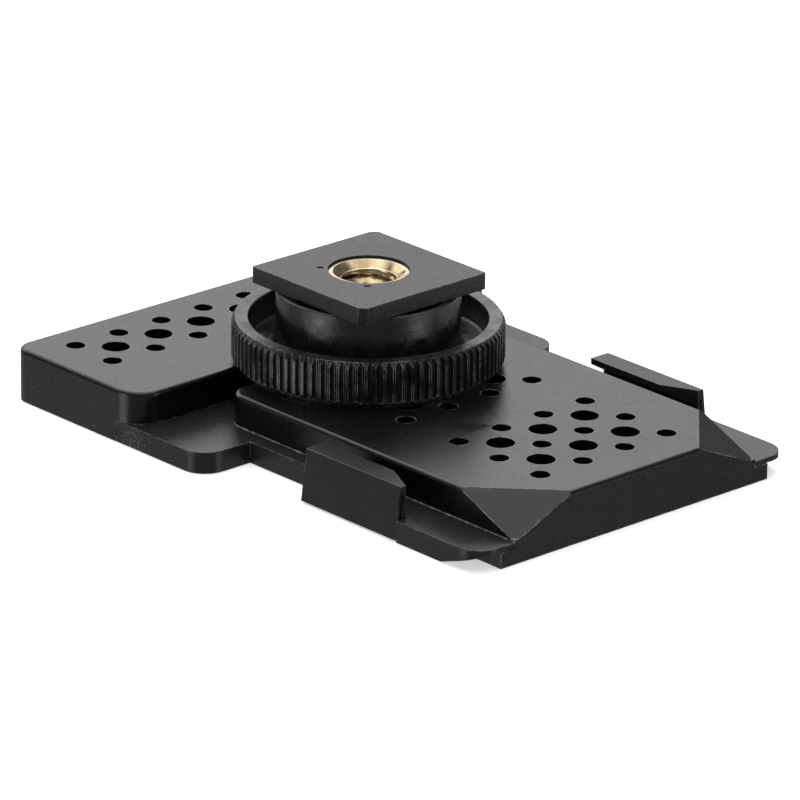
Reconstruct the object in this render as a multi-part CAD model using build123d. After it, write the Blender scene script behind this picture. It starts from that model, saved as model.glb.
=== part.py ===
from build123d import *
import math
import os

# Shoe-mount plate: a flat moulded plate with two perforated pads and two snap hooks,
# and a knurled wheel that drives a square shoe foot out of its hub to clamp a shoe.
# Millimetres. Origin at the middle of the underside, +X along the plate, +Z up.

# plate
plate_length = 72.9
plate_width = 53.9
plate_thickness = 2.5
tongue_width = 39.9
flange_corner = 3.0
seam = 0.05                 # gap between two mouldings that meet edge to edge

# pads
pad_height = 3.7
pad_wall = 1.5
pad_edge = 0.5              # rounding of the pads' top edges
end_pad_length = 21.6
end_pad_corner = 3.5        # corners that face the wheel
end_pad_outer_corner = 2.3
end_flange_length = 11.0    # bare plate past the end pad
cross_channel = 4.6         # gap between the two pads
tongue_ledge = 1.95         # bare plate beside the centre pad
center_pad_corner = 2.35
corner_cut_x = 8.9
corner_cut_y = 8.75

# perforations
hole_pitch_x = 6.4
hole_pitch_y = 6.3
small_hole = 2.2
large_hole = 3.2
row_shift = 0.55            # rows sit a little off the plate's middle line
end_hole_margin = 4.0
end_hole_start = 4.6        # plate end to the first column
end_hole_columns = 2
center_hole_margin = 8.0
tip_hole_start = 5.8        # tip of the tongue to the last column
tip_hole_columns = 3
group_gap = 8.55            # between the two groups of columns on the centre pad

# side hooks and the flanges that follow them
hook_length = 15.1
hook_from_tip = 12.9
hook_reach = 3.45           # outer face past the tongue's side
hook_height = 6.1
hook_lean = 0.75
hook_thickness = 1.5
hook_lip = 2.0
hook_lip_face = 0.7
hook_ground_gap = 0.2
hook_lead = 4.1             # length of the lip's slanted end
hook_lead_depth = 2.0
hook_bead = 0.8             # radius of the bead that the hook flexes on
hook_bead_fit = 0.06
hook_bead_height = 1.2
hook_bead_inset = 0.4       # bead centre behind the lug's face
hook_web = 0.9
hook_gap = 0.35             # lug's face to the hook's inner face
hook_end_gap = 0.15
flange_ramp = 5.7
flange_tip = 0.6

# wheel
wheel_from_pad = 8.1
wheel_diameter = 30.6
wheel_height = 4.8
wheel_edge = 0.35
rim_inner = 26.8
cup_floor = 1.6
column_diameter = 20.7
column_height = 3.5         # column above the rim
relief_depth = 1.2
relief_inner = 15.2
relief_land = 0.4
washer_thickness = 0.6
washer_diameter = 28.8
running_fit = 0.05          # radial, for the screw thread and the keyed stem
bearing_fit = 0.1           # radial, wheel on its post
end_play = 0.05

# post that the wheel turns on
post_diameter = 14.0
post_bearing = 2.45         # post inside the wheel's hub
ring_depth = 0.4
ring_reach = 0.7
ring_thickness = 0.5
ring_split = 1.6
ring_from_top = 0.3

# shoe foot and what it carries
foot_side = 18.5
foot_thickness = 1.95
foot_corner = 0.75          # leg of the cut on the two corners along one diagonal
foot_small_corner = 0.2     # the other two are only eased
lift = 2.5
stem_diameter = 11.6
stem_step = 0.2             # stem's step above the post
key_diameter = 8.4
key_flats = 6.8
insert_diameter = 9.16
insert_length = 6.8
insert_recess = 0.2         # insert's face below the foot's top
insert_land = 0.6
insert_mouth_depth = 0.85
thread_mouth = 6.3
thread_minor = 5.2

# screw and washer under the stem
well_fit = 0.2
stop_washer_diameter = 10.8
stop_washer_thickness = 0.6
stop_screw_diameter = 3.0
stop_screw_length = 7.0
stop_screw_head = 5.4
stop_screw_head_height = 0.8
screw_fit = 0.02

# screws that hold the pads down
pad_screw_diameter = 2.0
pad_screw_head = 3.8
pad_screw_length = 5.0
pad_screw_sink = 0.15
pad_screw_clearance = 0.15
pad_post_diameter = 4.0
pad_post_from_edge = 4.4
end_screw_spacing = 20.0

# places worked out from the sizes above
left = -plate_length / 2
right = plate_length / 2
half_width = plate_width / 2
half_tongue = tongue_width / 2
pad_top = plate_thickness + pad_height
roof = pad_top - pad_wall
end_face = left + end_pad_length
flange_end = end_face + end_flange_length
skirt_end = end_face - end_pad_corner
center_start = end_face + cross_channel
half_center = half_tongue - tongue_ledge
wheel_x = end_face + wheel_from_pad
hook_end = right - hook_from_tip
hook_start = hook_end - hook_length
hook_outer = half_tongue + hook_reach
hook_inner = hook_outer - hook_thickness
lug_face = hook_inner - hook_gap
bead_y = lug_face - hook_bead_inset
wheel_bottom = pad_top + washer_thickness + end_play
rim_top = wheel_bottom + wheel_height
column_top = rim_top + column_height
post_top = wheel_bottom + post_bearing
post_radius = post_diameter / 2
foot_bottom = column_top + end_play
foot_top = foot_bottom + foot_thickness
insert_top = foot_top - insert_recess
insert_bottom = insert_top - insert_length
stem_step_z = post_top + stem_step
stop_washer_top = 1.65
stop_washer_bottom = stop_washer_top - stop_washer_thickness
well_top = stop_washer_top + lift + end_play
well_radius = stop_washer_diameter / 2 + well_fit
ring_top = post_top - ring_from_top
ring_bottom = ring_top - ring_thickness


def block(x0, x1, y0, y1, z0, z1):
    return Pos((x0 + x1) / 2, (y0 + y1) / 2, (z0 + z1) / 2) * Box(x1 - x0, y1 - y0, z1 - z0)


def disc(x, y, radius, z0, z1):
    return Pos(x, y, (z0 + z1) / 2) * Cylinder(radius, z1 - z0)


def cone(x, y, low_radius, high_radius, z0, z1):
    return Pos(x, y, (z0 + z1) / 2) * Cone(low_radius, high_radius, z1 - z0)


def rounded_slab(x0, x1, half, z0, z1, left_corner, right_corner):
    """A slab whose two ends have their own corner radii."""
    slab = block(x0, x1, -half, half, z0, z1)
    uprights = slab.edges().filter_by(Axis.Z)
    if left_corner:
        slab = fillet(uprights.group_by(Axis.X)[0], left_corner)
    if right_corner:
        slab = fillet(slab.edges().filter_by(Axis.Z).group_by(Axis.X)[-1], right_corner)
    return slab


def both_sides(shape):
    return shape, mirror(shape, Plane.XZ)


def row_places(width, margin):
    count = int((width - 2 * margin) / hole_pitch_y) + 1
    return [row_shift + (i - (count - 1) / 2) * hole_pitch_y for i in range(count)]


def perforations(columns, rows):
    """Small holes on a grid, with a large one in the middle of each cell."""
    drills = [disc(x, y, small_hole / 2, roof - 1, pad_top + 1) for x in columns for y in rows]
    for x in columns[:-1]:
        for y in rows[:-1]:
            middle = (x + hole_pitch_x / 2, y + hole_pitch_y / 2)
            drills.append(disc(*middle, large_hole / 2, roof - 1, pad_top + 1))
    return drills


def end_screw_places():
    x = end_face - pad_wall - pad_post_from_edge + 1.0
    return [(x, y) for y in (-end_screw_spacing, 0, end_screw_spacing)]


def center_screw_places():
    y = half_center - pad_post_from_edge
    near_wheel = wheel_x + 3.0
    near_tip = right - corner_cut_x - 3.3
    return [(x, side * y) for x in (near_wheel, near_tip) for side in (-1, 1)]


def screw_posts(places):
    return [disc(x, y, pad_post_diameter / 2, plate_thickness, roof + 0.5) for x, y in places]


def screw_pilots(places):
    tip = pad_screw_sink + pad_screw_length + 0.2
    radius = pad_screw_diameter / 2 + screw_fit
    return [disc(x, y, radius, plate_thickness - 1, tip) for x, y in places]


def head_depth():
    return (pad_screw_head - pad_screw_diameter) / 2


def countersunk_holes(places):
    """Clearance holes with a seat for a flat head."""
    holes = []
    for x, y in places:
        seat_top = pad_screw_sink + head_depth() + screw_fit
        holes.append(disc(x, y, pad_screw_diameter / 2 + pad_screw_clearance, -1, plate_thickness + 1))
        holes.append(cone(x, y, pad_screw_head / 2 + screw_fit, pad_screw_diameter / 2 + screw_fit,
                          pad_screw_sink, seat_top))
        holes.append(disc(x, y, pad_screw_head / 2 + screw_fit, -1, pad_screw_sink))
    return holes


def pad_screw(x, y):
    top = pad_screw_sink + head_depth()
    head = cone(x, y, pad_screw_head / 2, pad_screw_diameter / 2, pad_screw_sink, top)
    shank = disc(x, y, pad_screw_diameter / 2, top, pad_screw_sink + pad_screw_length)
    slot_depth = head_depth() / 2
    cross = [block(x - a, x + a, y - b, y + b, pad_screw_sink - 1, pad_screw_sink + slot_depth)
             for a, b in ((1.1, 0.22), (0.22, 1.1))]
    return head + shank - cross


def ramped_slab(drop):
    """The flanges' side view across the plate: it thins out from below towards the tip."""
    side = Plane.XZ * Polygon(
        (hook_end + hook_end_gap, -drop),
        (right - flange_ramp, -drop),
        (right, plate_thickness - flange_tip - drop),
        (right, plate_thickness),
        (hook_end + hook_end_gap, plate_thickness),
        align=None,
    )
    return extrude(side, amount=hook_outer, both=True)


def base_plate():
    inner_half = half_width - pad_wall - seam
    plate = block(left + pad_wall + seam, skirt_end + 1, -inner_half, inner_half, 0, plate_thickness)
    plate += rounded_slab(skirt_end + seam, flange_end, half_width, 0, plate_thickness, 0, flange_corner)
    plate += block(flange_end - 1, right - pad_wall - seam, -half_tongue, half_tongue, 0, plate_thickness)

    # flanges behind the hooks
    outline = rounded_slab(hook_end, right, hook_outer, -1, plate_thickness + 1, 0, flange_corner)
    flanges = ramped_slab(0) & outline
    plate += flanges - block(left, right + 1, -half_center - seam, half_center + seam, -1, plate_thickness + 1)

    # lugs that carry the hooks
    lug_start = hook_start + hook_end_gap
    lug_end = hook_end - hook_end_gap
    for y0, y1 in ((half_tongue - 1, lug_face), (-lug_face, -half_tongue + 1)):
        plate += block(lug_start, lug_end + 1, y0, y1, 0, plate_thickness)
    for side_sign in (-1, 1):
        groove = Pos((hook_start + hook_end) / 2, side_sign * bead_y, hook_bead_height)
        plate -= groove * Rot(0, 90, 0) * Cylinder(hook_bead + hook_bead_fit, hook_length)

    # post, its bore, the groove for the ring and the well for the stop washer
    plate += disc(wheel_x, 0, post_radius, 0, post_top)
    bore = disc(wheel_x, 0, key_diameter / 2 + running_fit, -1, post_top + 1)
    half_key = key_flats / 2 + running_fit
    plate -= bore & block(left, right, -half_key, half_key, -1, post_top + 1)
    plate -= disc(wheel_x, 0, well_radius, -1, well_top)
    ring_groove = disc(wheel_x, 0, post_radius + 1, ring_bottom - end_play, ring_top + end_play)
    plate -= ring_groove - disc(wheel_x, 0, post_radius - ring_depth, 0, post_top)

    return plate - countersunk_holes(end_screw_places() + center_screw_places())


def end_pad():
    skin = rounded_slab(left, end_face, half_width, plate_thickness, pad_top,
                        end_pad_outer_corner, end_pad_corner)
    skin = fillet(skin.faces().sort_by(Axis.Z)[-1].edges(), pad_edge)
    skirt = rounded_slab(left, skirt_end, half_width, 0, plate_thickness, end_pad_outer_corner, 0)
    inner_half = half_width - pad_wall
    skin += skirt - block(left + pad_wall, end_face, -inner_half, inner_half, -1, plate_thickness)
    skin -= rounded_slab(left + pad_wall, end_face - pad_wall, inner_half, plate_thickness - 0.5, roof,
                         0, end_pad_corner - pad_wall)
    skin += screw_posts(end_screw_places())
    columns = [left + end_hole_start + i * hole_pitch_x for i in range(end_hole_columns)]
    skin -= perforations(columns, row_places(plate_width, end_hole_margin))
    return skin - screw_pilots(end_screw_places())


def cut_corners(shape, inset):
    """Takes a slanted three-sided facet off both top corners at the tip."""
    slope = math.sqrt(corner_cut_x ** -2 + corner_cut_y ** -2 + pad_height ** -2)
    grow = 1 + inset * slope
    for side in (-1, 1):
        along = (right - corner_cut_x * grow, side * half_center, pad_top)
        across = (right, side * (half_center - corner_cut_y * grow), pad_top)
        down = (right, side * half_center, pad_top - pad_height * grow)
        first = Vector(*across) - Vector(*along)
        second = Vector(*down) - Vector(*along)
        normal = first.cross(second)
        if normal.X > 0:
            normal = normal * -1
        cutter = Plane(origin=along, x_dir=first, z_dir=normal)
        shape = split(shape, bisect_by=cutter, keep=Keep.TOP)
    return shape


def center_pad():
    skin = rounded_slab(center_start, right, half_center, plate_thickness, pad_top, center_pad_corner, 0)
    top_edges = skin.faces().sort_by(Axis.Z)[-1].edges()
    skin = fillet(top_edges.sort_by(Axis.X)[:-1], pad_edge)
    skin = cut_corners(skin, 0)

    # apron that closes the tongue's end, under the flanges' thin tips at its sides
    skin += block(right - pad_wall, right, -half_center, half_center, 0, plate_thickness)
    apron = block(right - pad_wall, right, -half_tongue, half_tongue, 0, plate_thickness)
    skin += apron - ramped_slab(seam)

    hollow = rounded_slab(center_start + pad_wall, right - pad_wall, half_center - pad_wall,
                          plate_thickness - 0.5, roof, center_pad_corner - pad_wall, 0)
    hollow = cut_corners(hollow, pad_wall)
    clear = post_radius + running_fit + 0.2
    hollow -= disc(wheel_x, 0, clear + pad_wall, 0, pad_top)
    skin -= hollow
    skin += screw_posts(center_screw_places())
    skin -= disc(wheel_x, 0, clear, 0, pad_top + 1)

    rows = row_places(2 * half_center, center_hole_margin)
    tip_first = right - tip_hole_start - (tip_hole_columns - 1) * hole_pitch_x
    skin -= perforations([tip_first + i * hole_pitch_x for i in range(tip_hole_columns)], rows)
    column = tip_first - group_gap
    wheel_group = []
    while column > wheel_x + clear + pad_wall:
        wheel_group.insert(0, column)
        column -= hole_pitch_x
    if wheel_group:
        skin -= perforations(wheel_group, rows)
    return skin - screw_pilots(center_screw_places())


def side_hook():
    """The hook on the -Y side; it flexes on a bead that snaps into the lug."""
    top_outer = -hook_outer + hook_lean
    lip_edge = -hook_inner + hook_lip
    profile = Plane.YZ * Polygon(
        (-hook_outer, hook_ground_gap),
        (top_outer, hook_height),
        (lip_edge, hook_height),
        (lip_edge, hook_height - hook_lip_face),
        (-hook_inner, hook_height - hook_lip_face - hook_lip * 0.6),
        (-hook_inner, hook_ground_gap),
        align=None,
    )
    hook = Pos(hook_start, 0, 0) * extrude(profile, amount=hook_length, dir=(1, 0, 0))
    long_top = hook.edges().filter_by(Axis.X).group_by(Axis.Z)[-1].sort_by(Axis.Y)[0]
    hook = fillet(long_top, 0.2)
    lead = Polygon(
        (hook_end - hook_lead, lip_edge),
        (hook_end + 0.01, lip_edge - hook_lead_depth),
        (hook_end + 0.01, lip_edge + 1),
        (hook_end - hook_lead, lip_edge + 1),
        align=None,
    )
    hook -= extrude(lead, amount=hook_height + 1)
    middle = (hook_start + hook_end) / 2
    bead_length = hook_length - 4 * hook_end_gap
    hook += Pos(middle, -bead_y, hook_bead_height) * Rot(0, 90, 0) * Cylinder(hook_bead, bead_length)
    hook += block(middle - bead_length / 2, middle + bead_length / 2, -hook_inner - 0.1, -bead_y,
                  hook_bead_height - hook_web / 2, hook_bead_height + hook_web / 2)
    return hook


def lock_wheel():
    rim_radius = wheel_diameter / 2
    column_radius = column_diameter / 2
    rim = disc(wheel_x, 0, rim_radius, wheel_bottom, rim_top)
    rim = chamfer(rim.edges().filter_by(GeomType.CIRCLE), wheel_edge)
    rim -= disc(wheel_x, 0, rim_inner / 2, wheel_bottom + cup_floor, rim_top + 1)
    wheel = rim + disc(wheel_x, 0, column_radius, wheel_bottom, column_top)
    relief = disc(wheel_x, 0, column_radius - relief_land, column_top - relief_depth, column_top + 1)
    wheel -= relief - disc(wheel_x, 0, relief_inner / 2, 0, column_top + 2)
    hub_radius = post_radius + bearing_fit
    wheel -= disc(wheel_x, 0, hub_radius, wheel_bottom - 1, post_top + stem_step + 0.1)
    ring_radius = post_radius + ring_reach + bearing_fit
    wheel -= disc(wheel_x, 0, ring_radius, ring_bottom - end_play, ring_top + end_play)
    return wheel - disc(wheel_x, 0, stem_diameter / 2 + running_fit, wheel_bottom, column_top + 1)


def thrust_washer():
    outer = disc(wheel_x, 0, washer_diameter / 2, pad_top, pad_top + washer_thickness)
    return outer - disc(wheel_x, 0, post_radius + bearing_fit, pad_top - 1, wheel_bottom)


def wheel_ring():
    ring = disc(wheel_x, 0, post_radius + ring_reach, ring_bottom, ring_top)
    ring -= disc(wheel_x, 0, post_radius - ring_depth + running_fit, ring_bottom - 1, ring_top + 1)
    return ring - block(wheel_x, wheel_x + post_diameter, -ring_split / 2, ring_split / 2, 0, post_top)


def shoe_foot():
    half = foot_side / 2
    plate = block(wheel_x - half, wheel_x + half, -half, half, foot_bottom, foot_top)
    uprights = plate.edges().filter_by(Axis.Z).sort_by(lambda edge: edge.center().X - edge.center().Y)
    plate = chamfer([uprights[0], uprights[-1]], foot_corner)
    uprights = plate.edges().filter_by(Axis.Z).sort_by(lambda edge: edge.center().X + edge.center().Y)
    plate = chamfer([uprights[0], uprights[-1]], foot_small_corner)
    stem = disc(wheel_x, 0, stem_diameter / 2, stem_step_z, foot_bottom)
    key = disc(wheel_x, 0, key_diameter / 2, stop_washer_top, stem_step_z)
    key = key & block(left, right, -key_flats / 2, key_flats / 2, 0, foot_top)
    foot = plate + stem + key
    pocket_radius = insert_diameter / 2 + screw_fit
    foot -= disc(wheel_x, 0, pocket_radius, insert_bottom, foot_top + 1)
    pilot = stop_screw_diameter / 2 + screw_fit
    return foot - disc(wheel_x, 0, pilot, 0, stop_washer_bottom + stop_screw_length + 0.3)


def threaded_insert():
    radius = insert_diameter / 2
    insert = disc(wheel_x, 0, radius, insert_bottom, insert_top)
    insert -= disc(wheel_x, 0, thread_minor / 2, insert_bottom - 1, insert_top + 1)
    mouth = insert_top - insert_mouth_depth
    insert -= cone(wheel_x, 0, thread_mouth / 2, radius - insert_land, mouth, insert_top)
    return insert - cone(wheel_x, 0, thread_minor / 2, thread_mouth / 2, mouth - 0.55, mouth)


def stop_washer():
    washer = disc(wheel_x, 0, stop_washer_diameter / 2, stop_washer_bottom, stop_washer_top)
    return washer - disc(wheel_x, 0, stop_screw_diameter / 2 + 0.1, 0, stop_washer_top + 1)


def stop_screw():
    low = stop_washer_bottom - stop_screw_head_height
    head = disc(wheel_x, 0, stop_screw_head / 2, low, stop_washer_bottom)
    head = fillet(head.edges().filter_by(GeomType.CIRCLE).sort_by(Axis.Z)[0], stop_screw_head_height * 0.6)
    screw = head + disc(wheel_x, 0, stop_screw_diameter / 2, low, stop_washer_bottom + stop_screw_length)
    socket = RegularPolygon(1.15, 6)
    return screw - Pos(wheel_x, 0, low - 0.5) * extrude(socket, amount=1.6)


def save(name, shape):
    solids = shape.solids()
    result = solids[0] if len(solids) == 1 else Compound(children=list(solids))
    result.label = name
    export_step(result, f"parts/{name}.step")
    print(name, len(solids), round(sum(s.volume for s in solids), 1))


os.makedirs("parts", exist_ok=True)
front_hook, back_hook = both_sides(side_hook())
save("base_plate", base_plate())
save("end_pad", end_pad())
save("center_pad", center_pad())
save("side_hook_front", front_hook)
save("side_hook_back", back_hook)
save("lock_wheel", lock_wheel())
save("thrust_washer", thrust_washer())
save("wheel_retaining_ring", wheel_ring())
save("shoe_foot", shoe_foot())
save("threaded_insert", threaded_insert())
save("stem_stop_washer", stop_washer())
save("stem_stop_screw", stop_screw())
save("end_pad_screws", Compound(children=[pad_screw(*place) for place in end_screw_places()]))
save("center_pad_screws", Compound(children=[pad_screw(*place) for place in center_screw_places()]))
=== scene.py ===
import math
import bpy
import bmesh
from mathutils import Matrix, Vector


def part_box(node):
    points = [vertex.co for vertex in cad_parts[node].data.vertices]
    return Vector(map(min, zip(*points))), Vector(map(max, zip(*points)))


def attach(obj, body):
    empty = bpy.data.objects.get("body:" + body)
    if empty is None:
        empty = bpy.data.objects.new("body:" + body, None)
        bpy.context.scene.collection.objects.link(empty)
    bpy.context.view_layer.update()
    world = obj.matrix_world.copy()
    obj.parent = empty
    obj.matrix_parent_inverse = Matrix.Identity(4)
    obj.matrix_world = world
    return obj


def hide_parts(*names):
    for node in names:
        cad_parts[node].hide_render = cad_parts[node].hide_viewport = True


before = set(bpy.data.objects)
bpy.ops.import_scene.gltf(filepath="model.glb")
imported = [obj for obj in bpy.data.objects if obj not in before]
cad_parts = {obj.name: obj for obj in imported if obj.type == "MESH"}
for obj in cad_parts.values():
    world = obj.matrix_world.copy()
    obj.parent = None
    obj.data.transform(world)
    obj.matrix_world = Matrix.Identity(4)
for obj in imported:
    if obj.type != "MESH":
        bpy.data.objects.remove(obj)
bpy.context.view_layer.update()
mm = 0.001

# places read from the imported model
wheelLow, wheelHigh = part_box("lock_wheel")
plateLow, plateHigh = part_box("base_plate")
endLow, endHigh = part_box("end_pad")
centerLow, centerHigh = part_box("center_pad")
hookLow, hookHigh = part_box("side_hook_front")
footLow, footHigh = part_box("shoe_foot")
insertLow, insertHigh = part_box("threaded_insert")
ringLow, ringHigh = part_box("wheel_retaining_ring")
thrustLow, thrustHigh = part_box("thrust_washer")
washerLow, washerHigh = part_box("stem_stop_washer")
wheelX = (wheelLow.x + wheelHigh.x) / 2
padTop = endHigh.z


class Wire:
    # a node socket, shader or geometry, that can be added, scaled and compared like a number
    def __init__(self, tree, socket):
        self.tree = tree
        self.socket = socket

    # makes any other kind of node in the same tree
    def node(self, kind, settings=None, inputs=None, output=0):
        made = self.tree.nodes.new(kind)
        for key, value in (settings or {}).items():
            setattr(made, key, value)
        for key, value in (inputs or {}).items():
            if isinstance(value, Wire):
                self.tree.links.new(value.socket, made.inputs[key])
            else:
                made.inputs[key].default_value = value
        return Wire(self.tree, made.outputs[output])

    def maths(self, operation, *values):
        return self.node("ShaderNodeMath", {"operation": operation}, dict(enumerate(values)))

    def __add__(self, other):
        return self.maths("ADD", self, other)

    def __radd__(self, other):
        return self.maths("ADD", other, self)

    def __sub__(self, other):
        return self.maths("SUBTRACT", self, other)

    def __rsub__(self, other):
        return self.maths("SUBTRACT", other, self)

    def __mul__(self, other):
        return self.maths("MULTIPLY", self, other)

    def __rmul__(self, other):
        return self.maths("MULTIPLY", other, self)

    def __truediv__(self, other):
        return self.maths("DIVIDE", self, other)

    def __pow__(self, other):
        return self.maths("POWER", self, other)

    def __gt__(self, other):
        return self.maths("GREATER_THAN", self, other)

    def __lt__(self, other):
        return self.maths("LESS_THAN", self, other)

    def step(self, low, high):
        # 0 below low, 1 above high, smooth between
        return self.node("ShaderNodeMapRange", {"interpolation_type": "SMOOTHSTEP"},
                         {0: self, 1: low, 2: high, 3: 0.0, 4: 1.0})

    def parts(self):
        # the three numbers of a vector
        split = self.node("ShaderNodeSeparateXYZ", None, {0: self}).socket.node
        return [Wire(self.tree, number) for number in split.outputs]


def joined(x, y, z):
    return x.node("ShaderNodeCombineXYZ", None, {0: x, 1: y, 2: z})


def grey(value, warm=0.0):
    return (value * (1 + warm), value, value * (1 - warm), 1)


def mixColour(factor, first, second):
    return factor.node("ShaderNodeMix", {"data_type": "RGBA"}, {0: factor, 6: first, 7: second}, 2)


def noise(place, size, detail=3.0, roughness=0.55):
    # size is the feature size in metres
    return place.node("ShaderNodeTexNoise", None,
                      {"Vector": place, "Scale": 1 / size, "Detail": detail, "Roughness": roughness})


def stretched(place, scale):
    return place.node("ShaderNodeMapping", None, {"Vector": place, "Scale": scale})


def distanceTo(place, point):
    return place.node("ShaderNodeVectorMath", {"operation": "DISTANCE"}, {0: place, 1: point}, "Value")


def edgeMask(place, radius):
    # 1 along edges and corners within the radius
    rounded = place.node("ShaderNodeBevel", {"samples": 6}, {"Radius": radius})
    flat = place.node("ShaderNodeNewGeometry", None, None, "Normal")
    turn = place.node("ShaderNodeVectorMath", {"operation": "DOT_PRODUCT"}, {0: rounded, 1: flat}, "Value")
    return (1 - turn).step(0.002, 0.04)


def startMaterial(name):
    material = bpy.data.materials.new(name)
    material.use_nodes = True
    tree = material.node_tree
    shader = tree.nodes["Principled BSDF"]
    start = Wire(tree, None)
    place = start.node("ShaderNodeTexCoord", None, None, "Object")
    return material, shader, place


def finishMaterial(shader, place, colour, roughness, height, depth, strength=1.0):
    tree = place.tree
    bump = place.node("ShaderNodeBump", None, {"Height": height, "Distance": depth, "Strength": strength})
    tree.links.new(colour.socket, shader.inputs["Base Color"])
    tree.links.new(roughness.socket, shader.inputs["Roughness"])
    tree.links.new(bump.socket, shader.inputs["Normal"])


def mouldedPlastic(name, look):
    # black moulded plastic: eroded grain, cloudy tone, flow lines, edges lightened partly as wear and
    # partly as a painted edge highlight, and a little dust
    material, shader, place = startMaterial(name)
    grain = noise(place, look["grainSize"], 2.0, 0.6)
    cloud = noise(place, look["cloudSize"], 3.0)
    patches = noise(place, look["cloudSize"] / 7, 4.0)
    edges = edgeMask(place, look["edgeWidth"])
    # edges lightened in patches: partly real wear, partly a painted highlight along the edges
    wornAndLitEdges = edges * patches.step(0.4, 0.65) * look["edgeWearAndHighlight"]
    flow = noise(place, look["flowSize"], 1.0)
    flowLine = (1 - ((flow - 0.5) * (flow - 0.5)).step(0.0, look["flowWidth"])) * cloud.step(0.5, 0.62)
    dust = (noise(place, look["dustSize"], 0.0) > look["dustLevel"]) * patches.step(0.5, 0.7)
    scuffs = noise(place, look["scuffGrain"], 5.0, 0.75).step(0.5, 0.62)
    scuff = scuffs * (1 - distanceTo(place, look["scuffPlace"]).step(look["scuffCore"], look["scuffSize"]))

    tone = mixColour(cloud.step(0.3, 0.7), grey(look["tone"] * 0.86), grey(look["tone"] * 1.12))
    tone = mixColour(grain.step(0.3, 0.75) * 0.5, tone, grey(look["tone"] * 1.7))
    tone = mixColour(flowLine * look["flowStrength"], tone, grey(look["tone"] * 0.4))
    # painted edge highlight and wear: edges mixed towards a light grey
    tone = mixColour(wornAndLitEdges, tone, grey(look["wearAndHighlightTone"]))
    tone = mixColour(dust * 0.6, tone, grey(0.32, 0.04))
    tone = mixColour(scuff * 0.8, tone, grey(0.35))
    rough = look["roughness"] + (patches - 0.5) * 0.16 + (grain - 0.5) * 0.2 - wornAndLitEdges * 0.12
    rough = rough + scuff * 0.2 + flowLine * look["flowStrength"] * 0.2 + (cloud - 0.5) * 0.1
    height = grain + patches * 0.5 + scuff * 1.5 - flowLine * look["flowStrength"] * 0.3
    shader.inputs["Specular IOR Level"].default_value = look["specular"]
    finishMaterial(shader, place, tone, rough, height, look["grainDepth"])
    return material


def satinPlastic(name, look):
    # smoother black plastic with fine rings round the wheel's axis, edges lightened partly as rubbed wear
    # and partly as a painted edge highlight, and painted glints on burrs low on its rim
    material, shader, place = startMaterial(name)
    centred = place.node("ShaderNodeVectorMath", {"operation": "SUBTRACT"}, {0: place, 1: (wheelX, 0, 0)})
    along, across, up = centred.parts()
    radius = (along * along + across * across) ** 0.5
    ringPlace = joined(radius, 0.0, up * 0.05)
    turning = noise(ringPlace, look["turningSize"], 3.0, 0.7)
    grain = noise(place, look["grainSize"], 3.0, 0.6)
    waves = noise(place, look["waveSize"], 2.0)
    edges = edgeMask(place, look["edgeWidth"])
    rubbed = noise(place, look["waveSize"] * 1.7, 4.0, 0.65).step(0.38, 0.68)
    # edges lightened in rubbed patches: partly real wear, partly a painted highlight along the flute
    # crests and rim edges
    wornAndLitEdges = edges * rubbed * look["edgeWearAndHighlight"]
    tone = mixColour(waves.step(0.3, 0.7), grey(look["tone"] * 0.85), grey(look["tone"] * 1.15))
    tone = mixColour(grain.step(0.45, 0.8) * 0.35, tone, grey(look["tone"] * 2.0))
    # painted glints: light grey specks on the lowest edges of the rim stand for light caught by burrs
    # there
    burrGlints = (noise(place, look["burrGlintSize"], 1.0) > look["burrGlintLevel"]) * edges * (up < look["burrGlintHeight"])
    tone = mixColour(wornAndLitEdges, tone, grey(look["wearAndHighlightTone"]))
    tone = mixColour(burrGlints, tone, grey(look["burrGlintTone"]))
    rough = look["roughness"] + (grain - 0.5) * 0.16 + (rubbed - 0.5) * look["rubDepth"]
    height = grain * 0.5 + turning * look["turning"] + waves * look["waviness"]
    shader.inputs["Specular IOR Level"].default_value = look["specular"]
    finishMaterial(shader, place, tone, rough, height, look["grainDepth"])
    return material


def brightMetal(name, look):
    # turned or plated metal with fine rings, tarnish in patches and tiny pits
    material, shader, place = startMaterial(name)
    streaks = noise(stretched(place, (1, 1, look["streakStretch"])), look["streakSize"], 4.0, 0.65)
    tarnish = noise(place, look["tarnishSize"], 4.0, 0.6)
    pits = noise(place, look["pitSize"], 1.0).step(0.66, 0.72)
    edges = edgeMask(place, look["edgeWidth"])
    tone = mixColour(tarnish.step(0.35, 0.7), look["bright"], look["dull"])
    tone = mixColour(edges * 0.5, tone, look["rubbed"])
    tone = mixColour(pits * 0.3, tone, look["pit"])
    rough = look["roughness"] + (streaks - 0.5) * look["streakRough"] + tarnish.step(0.45, 0.8) * 0.1
    shader.inputs["Metallic"].default_value = 1.0
    finishMaterial(shader, place, tone, rough, streaks * 0.6 - pits, look["grainDepth"])
    return material


plateLook = {
    "tone": 0.02, "wearAndHighlightTone": 0.2, "roughness": 0.2, "specular": 0.24,
    "grainSize": 0.2 * mm, "grainDepth": 0.025 * mm, "cloudSize": 9 * mm,
    "edgeWidth": 0.16 * mm, "edgeWearAndHighlight": 0.9,
    "flowSize": 11 * mm, "flowWidth": 0.00004, "flowStrength": 0.12,
    "dustSize": 0.22 * mm, "dustLevel": 0.82, "scuffPlace": (-15.7 * mm, plateLow.y, 0.9 * mm),
    "scuffCore": 0.5 * mm, "scuffSize": 2.3 * mm, "scuffGrain": 0.35 * mm,
}
padLook = dict(plateLook, tone=0.0045, wearAndHighlightTone=0.32, roughness=0.17, specular=0.42, grainDepth=0.03 * mm,
               edgeWearAndHighlight=1.0, flowStrength=0.4)
hookLook = dict(plateLook, tone=0.021, roughness=0.17, specular=0.2, grainSize=0.17 * mm, edgeWearAndHighlight=0.6)
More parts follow.
